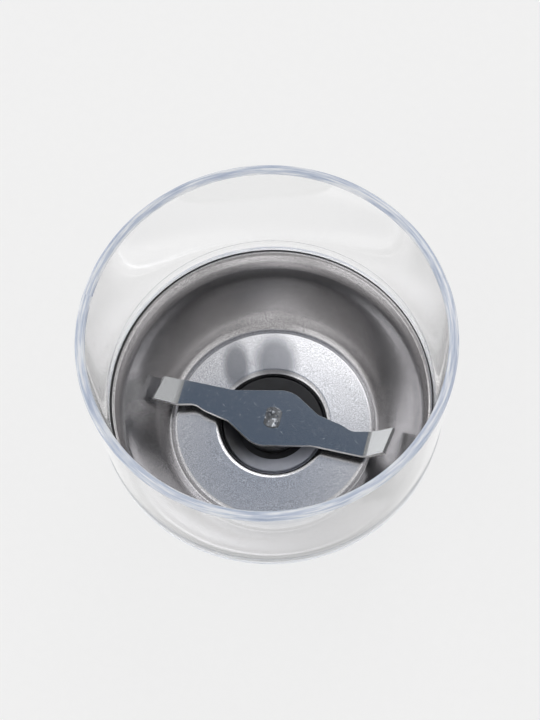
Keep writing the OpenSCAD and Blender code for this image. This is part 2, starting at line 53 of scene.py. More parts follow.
# Heights and radii read from the frame
WALL_LOW, WALL_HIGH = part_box("clear_wall")
BOWL_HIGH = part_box("steel_bowl")[1]
SHAFT_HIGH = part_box("drive_shaft")[1]
HOUSING_LOW, HOUSING_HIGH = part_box("bearing_housing")
RIM_Z = BOWL_HIGH.z
MOUTH_Z = WALL_HIGH.z
FOOT_Z = WALL_LOW.z
BOWL_FLANGE_R = BOWL_HIGH.x
HUB_FLANGE_R = HOUSING_HIGH.x

# Mesh fineness
TURN_STEPS = 192
ROUND_STEPS = 8
LARGE_ROUND = 10 * MM
LARGE_ROUND_STEPS = 24
EDGE_STEPS = 2
EDGE_ANGLE = math.radians(40)
SHARP_ANGLE = math.radians(32)
WELD = 0.001 * MM


# Camera

# The camera is fitted to the ellipses of the mouth, the bowl rim, the raised middle and the hub
CAMERA_DISTANCE = 450 * MM
CAMERA_AZIMUTH = math.radians(18.5)
CAMERA_ELEVATION = math.radians(69.61)
CAMERA_PITCH = math.radians(68.33)
CAMERA_YAW = math.radians(0.16)
CAMERA_ROLL = math.radians(4.41)
FOCAL_PX = 1677.1
FRAME_HEIGHT_PX = 720
SENSOR_MM = 36
# Turns the photograph's directions, X to the right and Y away, into the cup's own
PHOTO_TURN = Matrix.Rotation(CAMERA_AZIMUTH, 3, "Z")


def add_camera():
    """Stand the camera where the photograph was taken from."""
    across = math.cos(CAMERA_ELEVATION)
    place = CAMERA_DISTANCE * Vector((0, -across, math.sin(CAMERA_ELEVATION)))
    level = math.cos(CAMERA_PITCH)
    ahead = Vector((math.sin(CAMERA_YAW) * level, math.cos(CAMERA_YAW) * level, -math.sin(CAMERA_PITCH)))
    ahead = PHOTO_TURN @ ahead
    right = ahead.cross(UP).normalized()
    above = right.cross(ahead)
    rolled_right = math.cos(CAMERA_ROLL) * right - math.sin(CAMERA_ROLL) * above
    rolled_above = math.sin(CAMERA_ROLL) * right + math.cos(CAMERA_ROLL) * above
    data = bpy.data.cameras.new("photo_camera")
    data.sensor_fit = "AUTO"
    data.sensor_width = SENSOR_MM
    data.lens = FOCAL_PX * SENSOR_MM / FRAME_HEIGHT_PX
    camera = bpy.data.objects.new("photo_camera", data)
    axes = Matrix((rolled_right, rolled_above, -ahead)).transposed().to_4x4()
    camera.matrix_world = Matrix.Translation(PHOTO_TURN @ place + Vector((0, 0, RIM_Z))) @ axes
    scene.collection.objects.link(camera)
    scene.camera = camera


# Materials

# Places of a colour and of a number among the outputs of a Mix node
MIXED_COLOUR = 2
MIXED_NUMBER = 0


def linear(code):
    """Linear colour of an sRGB hex code."""
    values = [int(code[i:i + 2], 16) / 255 for i in (1, 3, 5)]
    return [v / 12.92 if v <= 0.04045 else ((v + 0.055) / 1.055) ** 2.4 for v in values] + [1.0]


def add(tree, kind, inputs=None, stops=None, **settings):
    """Add one node with its settings and its (position, hex) colour stops, and set or link its inputs."""
    made = tree.nodes.new(kind)
    for name, value in settings.items():
        setattr(made, name, value)
    for key, value in (inputs or {}).items():
        # Several sockets can have one name, and only the enabled one counts
        named = [socket for socket in made.inputs if socket.enabled and socket.name == key]
        socket = named[0] if named else made.inputs[key]
        if isinstance(value, bpy.types.NodeSocket):
            tree.links.new(value, socket)
        else:
            socket.default_value = value
    if stops:
        elements = made.color_ramp.elements
        while len(elements) < len(stops):
            elements.new(0.5)
        for element, (position, code) in zip(elements, stops):
            element.position = position
            element.color = linear(code)
    return made


def start_material(name):
    """An empty material, its tree and the object coordinates that its patterns read."""
    material = bpy.data.materials.new(name)
    material.use_nodes = True
    tree = material.node_tree
    tree.nodes.clear()
    place = add(tree, "ShaderNodeTexCoord").outputs["Object"]
    return material, tree, place


def close_material(tree, **inputs):
    """End a tree in one principled shader."""
    named = {name.replace("_", " "): value for name, value in inputs.items()}
    shader = add(tree, "ShaderNodeBsdfPrincipled", named)
    add(tree, "ShaderNodeOutputMaterial", {"Surface": shader.outputs["BSDF"]})


def per_metre(size_mm):
    """Texture scale that makes one feature about this many millimetres across."""
    return 1 / (size_mm * MM)


def two_tones(dark, light):
    """Stops that share two tones out over noise, which hardly leaves the span from 0.3 to 0.7."""
    return [(0.3, dark), (0.7, light)]


def axis_distance(tree, place):
    """Distance of a place from the cup's axis."""
    flat = add(tree, "ShaderNodeVectorMath", {0: place, 1: (1, 1, 0)}, operation="MULTIPLY")
    length = add(tree, "ShaderNodeVectorMath", {0: flat.outputs["Vector"]}, operation="LENGTH")
    return length.outputs["Value"]


WALL_RIPPLE_MM = 14
# At its mouth and its foot the wall is painted milky, standing in for light carried inside the plastic: how
# far from them that begins, and where it is full
MOUTH_PAINTED_START = 1.1 * MM
MOUTH_PAINTED_FULL = 0.7 * MM
FOOT_PAINTED_START = 0.9 * MM
FOOT_PAINTED_FULL = 0.5 * MM
FOOT_PAINTED_LEVEL = 0.8
# Blue streaks of painted light in the milky zones: about how many fill a turn, and their width
STREAKS_ROUND = 26
STREAK_MM = 0.7


def clear_san():
    """SAN, moulded clear: flow ripple in the wall, painted light at the mouth and foot as milky blue
    streaks, and a faint painted glow.
    """
    material, tree, place = start_material("clear_san_moulded")
    ripple = add(tree, "ShaderNodeTexNoise", {
        "Vector": place, "Scale": per_metre(WALL_RIPPLE_MM), "Detail": 1.0,
    }).outputs["Fac"]
    bump = add(tree, "ShaderNodeBump", {"Height": ripple, "Strength": 0.015, "Distance": 0.2 * MM})
    height = add(tree, "ShaderNodeSeparateXYZ", {"Vector": place}).outputs["Z"]
    mouth = add(tree, "ShaderNodeMapRange", {
        "Value": height, "From Min": MOUTH_Z - MOUTH_PAINTED_START, "From Max": MOUTH_Z - MOUTH_PAINTED_FULL,
    }).outputs["Result"]
    foot = add(tree, "ShaderNodeMapRange", {
        "Value": height, "From Min": RIM_Z + FOOT_PAINTED_START, "From Max": RIM_Z + FOOT_PAINTED_FULL,
        "To Max": FOOT_PAINTED_LEVEL,
    }).outputs["Result"]
    edge = add(tree, "ShaderNodeMath", {0: mouth, 1: foot}, operation="MAXIMUM").outputs["Value"]
    # The streaks run round the cup, so they are laid out by turn and distance from the axis
    turn = add(tree, "ShaderNodeTexGradient", {"Vector": place}, gradient_type="RADIAL").outputs["Fac"]
    polar = add(tree, "ShaderNodeCombineXYZ", {"X": turn, "Y": axis_distance(tree, place)})
    laid = add(tree, "ShaderNodeMapping", {
        "Vector": polar.outputs["Vector"], "Scale": (STREAKS_ROUND, per_metre(STREAK_MM), 1),
    }).outputs["Vector"]
    streak_noise = add(tree, "ShaderNodeTexNoise", {"Vector": laid, "Scale": 1.0, "Detail": 3.0, "Roughness": 0.6})
    # Painted light: blue-grey to white streaks, standing in for light carried along inside the plastic
    streak = add(tree, "ShaderNodeValToRGB", {"Fac": streak_noise.outputs["Fac"]},
                 stops=[(0.28, "#9AA9C6"), (0.46, "#C4CEE1"), (0.62, "#F2F5FA")]).outputs["Color"]
    tone = add(tree, "ShaderNodeMix", {"Factor": edge, "A": linear("#FFFFFF"), "B": streak},
               data_type="RGBA").outputs[MIXED_COLOUR]
    clear = add(tree, "ShaderNodeMapRange", {"Value": edge, "To Min": 1.0, "To Max": 0.25})
    rough = add(tree, "ShaderNodeMapRange", {"Value": edge, "To Min": 0.02, "To Max": 0.2})
    # Painted glow: the plastic emits faintly, strongest at the foot, standing in for light that the table
    # sends up inside it
    glow = add(tree, "ShaderNodeMapRange", {"Value": foot, "To Min": 0.045, "To Max": 0.2})
    close_material(tree, Base_Color=tone, Roughness=rough.outputs["Result"], IOR=1.5,
                   Transmission_Weight=clear.outputs["Result"], Normal=bump.outputs["Normal"],
                   Emission_Color=linear("#FFFFFF"), Emission_Strength=glow.outputs["Result"])
    return material


# The blasted grain is too fine to show, so it is drawn this coarse
SATIN_GRAIN_MM = 0.22
# Width over which the paler tone of the raised middle, painted light, gives way to the darker tone of the
# wall, painted shade
MIDDLE_FADE = 1.5 * MM


def satin_stainless():
    """Drawn stainless sheet, satin blasted: soft reflections, a sparkling grain, a paler middle that is
    painted light, a darker wall that is painted shade, and two painted dark reflections on the middle.
    """
    material, tree, place = start_material("satin_drawn_stainless")
    grain = add(tree, "ShaderNodeTexNoise", {
        "Vector": place, "Scale": per_metre(SATIN_GRAIN_MM), "Detail": 0.0,
    }).outputs["Fac"]
    # One steel in two tones: the darker one on the wall is painted shade, the paler one on the middle
    # painted light
    wall = add(tree, "ShaderNodeValToRGB", {"Fac": grain}, stops=two_tones("#9E9D9F", "#D0CECF"))
    middle = add(tree, "ShaderNodeValToRGB", {"Fac": grain}, stops=two_tones("#CCCCD0", "#F8F8FB"))
    outside = add(tree, "ShaderNodeMapRange", {
        "Value": axis_distance(tree, place), "From Min": PLATEAU_R, "From Max": PLATEAU_R + MIDDLE_FADE,
    }).outputs["Result"]
    tone = add(tree, "ShaderNodeMix", {
        "Factor": outside, "A": middle.outputs["Color"], "B": wall.outputs["Color"],
    }, data_type="RGBA").outputs[MIXED_COLOUR]
    # Two dark patches on the raised middle, laid out along the camera's view: painted reflections of dark
    # things
    for x, y, across, along in DARK_REFLECTIONS:
        laid = add(tree, "ShaderNodeMapping", {
            "Vector": place, "Location": (x, y, PLATEAU_Z), "Rotation": (0, 0, CAMERA_AZIMUTH),
            "Scale": (across, along, along),
        }, vector_type="TEXTURE").outputs["Vector"]
        gap = add(tree, "ShaderNodeVectorMath", {0: laid}, operation="LENGTH").outputs["Value"]
        # Strength of the painted dark reflection, full at its centre
        dull = add(tree, "ShaderNodeMapRange", {"Value": gap, "From Min": 1.0, "From Max": 0.4},
                   interpolation_type="SMOOTHSTEP").outputs["Result"]
        tone = add(tree, "ShaderNodeMix", {"Factor": dull, "A": tone, "B": linear("#9A9BA0")},
                   data_type="RGBA").outputs[MIXED_COLOUR]
    rough = add(tree, "ShaderNodeMapRange", {"Value": outside, "To Min": 0.22, "To Max": 0.225})
    close_material(tree, Base_Color=tone, Metallic=1.0, Roughness=rough.outputs["Result"])
    return material


BLADE_CLOUD_MM = 0.4
# Hairline scratches of the blade: direction in radians and length
SCRATCHES = [(0.3, 3 * MM), (1.2, 2 * MM), (2.4, 4 * MM)]
# Real hairlines are too fine to show, so they are drawn this wide
SCRATCH_W = 0.15 * MM


def stamped_stainless():
    """Hardened stainless strip, stamped and tumbled: cool grey, with hairline scratches three ways."""
    material, tree, place = start_material("stamped_hard_stainless")
    cloud = add(tree, "ShaderNodeTexNoise", {
        "Vector": place, "Scale": per_metre(BLADE_CLOUD_MM), "Detail": 2.0,
    }).outputs["Fac"]
    tone = add(tree, "ShaderNodeValToRGB", {"Fac": cloud}, stops=two_tones("#A5A7A9", "#ADAFB1"))
    tone = tone.outputs["Color"]
    rough = 0.13
    for angle, length in SCRATCHES:
        laid = add(tree, "ShaderNodeMapping", {
            "Vector": place, "Rotation": (0, 0, angle), "Scale": (length, SCRATCH_W, SCRATCH_W),
        }, vector_type="TEXTURE").outputs["Vector"]
        hair = add(tree, "ShaderNodeTexNoise", {"Vector": laid, "Scale": 1.0, "Detail": 1.0}).outputs["Fac"]
        mark = add(tree, "ShaderNodeMapRange", {"Value": hair, "From Min": 0.68, "From Max": 0.8})
        rough = add(tree, "ShaderNodeMix", {
            "Factor": mark.outputs["Result"], "A": rough, "B": 0.3,
        }).outputs[MIXED_NUMBER]
    # The sheared edges, which face along Y, are bright: a painted highlight, a near-white tone with a
    # rougher finish
    normal = add(tree, "ShaderNodeTexCoord").outputs["Normal"]
    side = add(tree, "ShaderNodeVectorMath", {0: normal}, operation="ABSOLUTE").outputs["Vector"]
    side = add(tree, "ShaderNodeSeparateXYZ", {"Vector": side}).outputs["Y"]
    edge = add(tree, "ShaderNodeMapRange", {
        "Value": side, "From Min": 0.3, "From Max": 0.6,
    }).outputs["Result"]
    tone = add(tree, "ShaderNodeMix", {"Factor": edge, "A": tone, "B": linear("#FDFDFD")},
               data_type="RGBA").outputs[MIXED_COLOUR]
    rough = add(tree, "ShaderNodeMix", {"Factor": edge, "A": rough, "B": 0.4}).outputs[MIXED_NUMBER]
    close_material(tree, Base_Color=tone, Metallic=1.0, Roughness=rough)
    return material


TARNISH_MM = 2.5
DENT_MM = 2.4
DENT_DEPTH = 1.4 * MM
# Height above the blade at which the dents of the peened head are full
DENT_FADE = 0.2 * MM


def shaft_steel():
    """Ground stainless shaft: bright, clouded, with a peened head that the punch has dented."""
    material, tree, place = start_material("ground_stainless")
    cloud = add(tree, "ShaderNodeTexNoise", {
        "Vector": place, "Scale": per_metre(TARNISH_MM), "Detail": 3.0,
    }).outputs["Fac"]
    tone = add(tree, "ShaderNodeValToRGB", {"Fac": cloud}, stops=two_tones("#55585D", "#A0A3A8"))
    height = add(tree, "ShaderNodeSeparateXYZ", {"Vector": place}).outputs["Z"]
    head = add(tree, "ShaderNodeMapRange", {
        "Value": height, "From Min": BLADE_TOP_Z, "From Max": BLADE_TOP_Z + DENT_FADE,
    }).outputs["Result"]
    dents = add(tree, "ShaderNodeTexNoise", {"Vector": place, "Scale": per_metre(DENT_MM), "Detail": 1.0})
    bump = add(tree, "ShaderNodeBump", {
        "Height": dents.outputs["Fac"], "Strength": head, "Distance": DENT_DEPTH,
    }).outputs["Normal"]
    close_material(tree, Base_Color=tone.outputs["Color"], Metallic=1.0, Roughness=0.16, Normal=bump)
    return material


def moulding(name, dark, light, roughness, grit_mm):
    """Moulded plastic with the spark texture of its mould, drawn coarser than it is so that it shows."""
    material, tree, place = start_material(name)
    grit = add(tree, "ShaderNodeTexNoise", {
        "Vector": place, "Scale": per_metre(grit_mm), "Detail": 3.0,
    }).outputs["Fac"]
    tone = add(tree, "ShaderNodeValToRGB", {"Fac": grit}, stops=two_tones(dark, light)).outputs["Color"]
    rough = add(tree, "ShaderNodeMapRange", {
        "Value": grit, "To Min": roughness - 0.06, "To Max": roughness + 0.06,
    }).outputs["Result"]
    bump = add(tree, "ShaderNodeBump", {"Height": grit, "Strength": 0.2, "Distance": 0.04 * MM})
    close_material(tree, Base_Color=tone, Roughness=rough, IOR=1.53, Normal=bump.outputs["Normal"])
    return material


HUB_HAZE_MM = 4
# Side of the hub's ring that gets a painted grey sheen, and about how far from the axis it begins on that
# side
SHEEN_SIDE = PHOTO_TURN @ Vector((0.25, -1, 0))
SHEEN_START = 2 * MM
# Width over which the painted sheen sets in at the inner edge of the ring
SHEEN_FADE = 0.1 * MM


def hub_plastic():
    """PBT, moulded smooth and black, with a painted grey sheen on the front half of the hub's ring."""
    material, tree, place = start_material("pbt_hub_black")
    haze = add(tree, "ShaderNodeTexNoise", {
        "Vector": place, "Scale": per_metre(HUB_HAZE_MM), "Detail": 2.0,
    }).outputs["Fac"]
    plain_black = add(tree, "ShaderNodeValToRGB", {"Fac": haze}, stops=two_tones("#232428", "#2C2D32"))
    sheen_grey = add(tree, "ShaderNodeValToRGB", {"Fac": haze}, stops=two_tones("#A2A6B2", "#B8BCC8"))
    ahead = add(tree, "ShaderNodeVectorMath", {0: place, 1: SHEEN_SIDE}, operation="DOT_PRODUCT")
    front = add(tree, "ShaderNodeMapRange", {
        "Value": ahead.outputs["Value"], "From Min": SHEEN_START, "From Max": PLUG_R,
    }, interpolation_type="SMOOTHSTEP").outputs["Result"]
    ring = add(tree, "ShaderNodeMapRange", {
        "Value": axis_distance(tree, place), "From Min": RECESS_R, "From Max": RECESS_R + SHEEN_FADE,
    }).outputs["Result"]
    # Painted sheen: on the sheen side, the ring's front half turns light grey, standing in for light it
    # catches
    painted_sheen = add(tree, "ShaderNodeMath", {0: front, 1: ring}, operation="MULTIPLY").outputs["Value"]
    tone = add(tree, "ShaderNodeMix", {
        "Factor": painted_sheen, "A": plain_black.outputs["Color"], "B": sheen_grey.outputs["Color"],
    }, data_type="RGBA").outputs[MIXED_COLOUR]
    close_material(tree, Base_Color=tone, Roughness=0.36, IOR=1.53)
    return material


def bright_metal(name, dark, light, roughness):
    """Small turned, sintered or plated metal parts with a faint uneven tarnish."""
    material, tree, place = start_material(name)
    cloud = add(tree, "ShaderNodeTexNoise", {
        "Vector": place, "Scale": per_metre(TARNISH_MM), "Detail": 3.0,
    }).outputs["Fac"]
    tone = add(tree, "ShaderNodeValToRGB", {"Fac": cloud}, stops=two_tones(dark, light)).outputs["Color"]
    rough = add(tree, "ShaderNodeMapRange", {
        "Value": cloud, "To Min": roughness - 0.05, "To Max": roughness + 0.08,
    }).outputs["Result"]
    close_material(tree, Base_Color=tone, Metallic=1.0, Roughness=rough)
    return material


def soft_moulding(name, dark, light, roughness, grain_mm):
    """Silicone, rubber, felt and nylon: dull, with a soft mottled tone."""
    material, tree, place = start_material(name)
    mottle = add(tree, "ShaderNodeTexNoise", {"Vector": place, "Scale": per_metre(grain_mm), "Detail": 4.0})
    tone = add(tree, "ShaderNodeValToRGB", {"Fac": mottle.outputs["Fac"]},
               stops=two_tones(dark, light)).outputs["Color"]
    close_material(tree, Base_Color=tone, Roughness=roughness, IOR=1.45)
    return material


TABLE_CLOUD_MM = 3
# Glow of the table, which keeps the floor even under and around the clear cup
TABLE_GLOW = 0.71


def light_table():
    """Opal acrylic sheet, matt, lit evenly from below: a pale, even table."""
    material, tree, place = start_material("opal_light_table")
    cloud = add(tree, "ShaderNodeTexNoise", {
        "Vector": place, "Scale": per_metre(TABLE_CLOUD_MM), "Detail": 2.0,
    }).outputs["Fac"]
    tone = add(tree, "ShaderNodeValToRGB", {"Fac": cloud}, stops=two_tones("#7A7A7A", "#7C7C7C"))
    close_material(tree, Base_Color=tone.outputs["Color"], Roughness=1.0, Specular_IOR_Level=0.0,
                   Emission_Color=linear("#FFFFFF"), Emission_Strength=TABLE_GLOW)
    return material


# Ways of making pieces

def piece(name, bm, material, body, slot, *nodes):
    """Turn a bmesh into a piece that rides a body and stands for CAD nodes."""
    mesh = bpy.data.meshes.new(name)
    bm.to_mesh(mesh)
    bm.free()
    mesh.materials.append(material)
    mesh.shade_smooth()
    mesh.set_sharp_from_angle(angle=SHARP_ANGLE)
    made = bpy.data.objects.new(name, mesh)
    scene.collection.objects.link(made)
    # Flat faces keep their own normals beside a rounded edge, or clear walls would bend light like prisms
    weighted = made.modifiers.new("weighted_normals", "WEIGHTED_NORMAL")
    weighted.keep_sharp = True
    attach(made, body)
    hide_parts(*nodes)


def round_corners(bm, verts, radii, closed):
    """Round each corner of a chain of verts to its own radius."""
    count = len(verts)
    points = [v.co.copy() for v in verts]
    for i, radius in enumerate(radii):
        if radius <= 0 or (not closed and i in (0, count - 1)):
            continue
        back = points[i - 1] - points[i]
        on = points[(i + 1) % count] - points[i]
        reach = radius / math.tan(back.angle(on) / 2)
        segments = ROUND_STEPS if radius < LARGE_ROUND else LARGE_ROUND_STEPS
        bmesh.ops.bevel(bm, geom=[verts[i]], offset=reach, offset_type="OFFSET", segments=segments,
                        profile=0.5, affect="VERTICES", material=-1)


def turned(corners, closed):
    """Spin a profile of (radius, height, rounding) corners about the cup's axis."""
    bm = bmesh.new()
    verts = [bm.verts.new((r, 0, z)) for r, z, _ in corners]
    following = verts[1:] + verts[:1] if closed else verts[1:]
    for pair in zip(verts, following):
        bm.edges.new(pair)
    round_corners(bm, verts, [rounding for _, _, rounding in corners], closed)
    bmesh.ops.spin(bm, geom=bm.verts[:] + bm.edges[:], cent=(0, 0, 0), axis=UP, angle=math.tau,
                   steps=TURN_STEPS, use_merge=True)
    bmesh.ops.remove_doubles(bm, verts=bm.verts[:], dist=WELD)
    bmesh.ops.recalc_face_normals(bm, faces=bm.faces[:])
    return bm


def bevel_sharp(bm, width):
    """Break every edge at which the surface turns sharply."""
    edges = [e for e in bm.edges if len(e.link_faces) == 2 and e.calc_face_angle() > EDGE_ANGLE]
    bmesh.ops.bevel(bm, geom=edges, offset=width, offset_type="OFFSET", segments=EDGE_STEPS, profile=0.5,
                    affect="EDGES", clamp_overlap=True, material=-1)


def softened(node, width):
    """Copy of a CAD node, welded, with its edges broken."""
    bm = bmesh.new()
    bm.from_mesh(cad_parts[node].data)
    bmesh.ops.remove_doubles(bm, verts=bm.verts[:], dist=WELD)
    bevel_sharp(bm, width)
    return bm


# Clear wall and its seal

WALL_MOUTH_R = 47 * MM
WALL_FOOT_R = 46 * MM
WALL_MOUTH_T = 2.5 * MM
WALL_FOOT_T = 2.6 * MM
WALL_LIP_T = 1 * MM
WALL_FOOT_CUT = 0.5 * MM
WALL_EDGE_ROUND = 0.8 * MM
WALL_SMALL_ROUND = 0.2 * MM
WALL_BAND_H = 5 * MM
WALL_BAND_STEP = 0.15 * MM
GASKET_T = 0.5 * MM
# The wall seats on the gasket with a hair of air, so that the two faces don't coincide
SEAT_AIR = 0.03 * MM


def clear_wall(material):
    """Tapered clear ring, with a band and a lip at its foot."""
    band_z = FOOT_Z + WALL_BAND_H
    seat_z = RIM_Z + GASKET_T + SEAT_AIR
    bm = turned([
        (WALL_FOOT_R - WALL_LIP_T, FOOT_Z, 0),
        (WALL_FOOT_R - WALL_FOOT_CUT, FOOT_Z, WALL_SMALL_ROUND),
        (WALL_FOOT_R, FOOT_Z + 2 * WALL_FOOT_CUT, WALL_SMALL_ROUND),
        (WALL_FOOT_R, band_z, WALL_SMALL_ROUND),
        (WALL_FOOT_R - WALL_BAND_STEP, band_z + WALL_BAND_STEP, WALL_SMALL_ROUND),
        (WALL_MOUTH_R, MOUTH_Z, WALL_EDGE_ROUND),
        (WALL_MOUTH_R - WALL_MOUTH_T, MOUTH_Z, WALL_EDGE_ROUND),
        (WALL_FOOT_R - WALL_FOOT_T, seat_z, WALL_SMALL_ROUND),
        (WALL_FOOT_R - WALL_LIP_T, seat_z, 0),
    ], closed=True)
    piece("clear_wall_ring", bm, material, "cup", "clear_plastic", "clear_wall")


SEAL_LIP_R = 42.95 * MM
SEAL_ROUND = 0.15 * MM
# The lip sits a little off the middle, so that more of it shows at the left and less at the back
SEAL_SHIFT = PHOTO_TURN @ Vector((0.15 * MM, 0.5 * MM, 0))


def rim_seal(material):
    """Silicone ring under the foot of the wall, with a rounded inner lip."""
    bm = turned([
        (BOWL_FLANGE_R, RIM_Z, 0),
        (BOWL_FLANGE_R, RIM_Z + GASKET_T, 0),
        (SEAL_LIP_R, RIM_Z + GASKET_T, SEAL_ROUND),
        (SEAL_LIP_R, RIM_Z, SEAL_ROUND),
    ], closed=True)
    lip = [v for v in bm.verts if v.co.xy.length < (SEAL_LIP_R + BOWL_FLANGE_R) / 2]
    bmesh.ops.translate(bm, vec=SEAL_SHIFT, verts=lip)
    piece("rim_seal", bm, material, "cup", "black_silicone", "rim_gasket")


# Steel bowl

BOWL_T = 0.7 * MM
BOWL_LAND = 2.08 * MM
BOWL_DEPTH = 21.3 * MM
BOWL_LEAN = math.radians(21.5)
BOWL_WALL_ROUND = 39 * MM
BOWL_RIM_ROUND = 1 * MM
BOWL_NECK_TILT = math.radians(54)
BOWL_NECK_ROUND = 12 * MM
BOWL_NECK_DROP = 2.75 * MM
FLANK_DROP = 13 * MM
FLANK_FOOT_W = 0.9 * MM
BOTTOM_ROUND = 9 * MM
TROUGH_ROUND = 0.4 * MM
TROUGH_SLOPE = math.radians(39)
TROUGH_Z = RIM_Z - BOWL_DEPTH
PLATEAU_R = 27.7 * MM
PLATEAU_RISE = 0.8 * MM
PLATEAU_CROWN = 0.5 * MM
PLATEAU_STEP_W = 1 * MM
PLATEAU_ROUND = 2.5 * MM
PLATEAU_Z = TROUGH_Z + PLATEAU_RISE
BOWL_HOLE_R = 14.1 * MM
BOWL_HOLE_ROUND = 2.1 * MM
BOWL_HOLE_LIP = 2.2 * MM
# Painted dark reflections on the raised middle: place, then reach across and along the camera's view
DARK_REFLECTIONS = [(-3.9 * MM, 18 * MM, 8 * MM, 11 * MM), (-14.3 * MM, 14 * MM, 5 * MM, 10 * MM)]


def steel_bowl(material):
    """Bowl drawn from one sheet: flange, curved wall, trough, raised middle and rolled hole."""
    mouth_r = BOWL_FLANGE_R - BOWL_LAND - BOWL_RIM_ROUND * math.tan(BOWL_NECK_TILT / 2)
    neck_r = mouth_r - BOWL_NECK_DROP / math.tan(BOWL_NECK_TILT)
    flank_r = neck_r - (FLANK_DROP - BOWL_NECK_DROP) * math.tan(BOWL_LEAN)
    step_foot_r = PLATEAU_R + PLATEAU_STEP_W
    bm = turned([
        (BOWL_FLANGE_R, RIM_Z, 0),
        (mouth_r, RIM_Z, BOWL_RIM_ROUND),
        (neck_r, RIM_Z - BOWL_NECK_DROP, BOWL_NECK_ROUND),
        (flank_r, RIM_Z - FLANK_DROP, BOWL_WALL_ROUND),
        (step_foot_r + FLANK_FOOT_W, TROUGH_Z + FLANK_FOOT_W * math.tan(TROUGH_SLOPE), BOTTOM_ROUND),
        (step_foot_r, TROUGH_Z, TROUGH_ROUND),
        (PLATEAU_R, PLATEAU_Z, PLATEAU_ROUND),
        (BOWL_HOLE_R, PLATEAU_Z + PLATEAU_CROWN, BOWL_HOLE_ROUND),
        (BOWL_HOLE_R, PLATEAU_Z - BOWL_HOLE_LIP, 0),
    ], closed=False)
    bmesh.ops.solidify(bm, geom=bm.faces[:], thickness=BOWL_T)
    piece("drawn_bowl", bm, material, "cup", "bowl_steel", "steel_bowl")


# Hub

PLUG_R = 13.95 * MM
RECESS_R = 10.3 * MM
BARREL_R = 9.4 * MM
BUSH_R = 5.03 * MM
SEAL_R = 5.63 * MM
HUB_FLANGE_T = 2.9 * MM
HUB_RING_FALL = 0.5 * MM
HUB_PLUG_H = 2.7 * MM
HUB_RECESS_H = 1.0 * MM
HUB_SEAL_H = 2 * MM
HUB_EDGE = 0.35 * MM
HUB_INNER_EDGE = HUB_EDGE / 4


def hub(material):
    """Bearing housing: the plug with a dished ring that shows in the bowl, and the barrel below."""
    ring_z = HOUSING_HIGH.z
    flange_z = ring_z - HUB_PLUG_H
    recess_z = flange_z + HUB_RECESS_H
    bm = turned([
        (BUSH_R, HOUSING_LOW.z, 0),
        (BARREL_R, HOUSING_LOW.z, HUB_EDGE),
        (BARREL_R, flange_z - HUB_FLANGE_T, 0),
        (HUB_FLANGE_R, flange_z - HUB_FLANGE_T, 0),
        (HUB_FLANGE_R, flange_z, HUB_EDGE),
        (PLUG_R, flange_z, 0),
        (PLUG_R, ring_z, HUB_EDGE),
        (RECESS_R, ring_z - HUB_RING_FALL, HUB_INNER_EDGE),
        (RECESS_R, recess_z, 0),
        (SEAL_R, recess_z, 0),
        (SEAL_R, recess_z - HUB_SEAL_H, 0),
        (BUSH_R, recess_z - HUB_SEAL_H, 0),
    ], closed=True)
    piece("hub_housing", bm, material, "cup", "hub_plastic", "bearing_housing")


# Blade

BLADE_T = 1.3 * MM
BLADE_FLAT_L = 26.4 * MM
CROWN_X, CROWN_W, CROWN_ROUND = 3.2 * MM, 9 * MM, 7 * MM
NECK_X, NECK_W, NECK_ROUND = 12 * MM, 3.7 * MM, 3.5 * MM
HIP_X, HIP_W, HIP_ROUND = 19.4 * MM, 2.3 * MM, 8 * MM
WAIST_X, WAIST_W, WAIST_ROUND = 22 * MM, 1.1 * MM, 4 * MM
TRAIL_X, TRAIL_W, TRAIL_ROUND = 12.6 * MM, 5.35 * MM, 13 * MM
WING_LEAD_W = 2.2 * MM
WING_TRAIL_W = 5.1 * MM
BEND_ROUND = 3 * MM
TIP_ANGLE = math.radians(35)
TIP_BEND_R = 3.2 * MM
TIP_LEN = 5.15 * MM
TIP_SKEW = 1.4 * MM
TIP_SLANT = 1.5 * MM
TIP_FOLDS = 9
BLADE_EDGE = 0.15 * MM
HEAD_H = 0.55 * MM
BLADE_TOP_Z = SHAFT_HIGH.z - HEAD_H


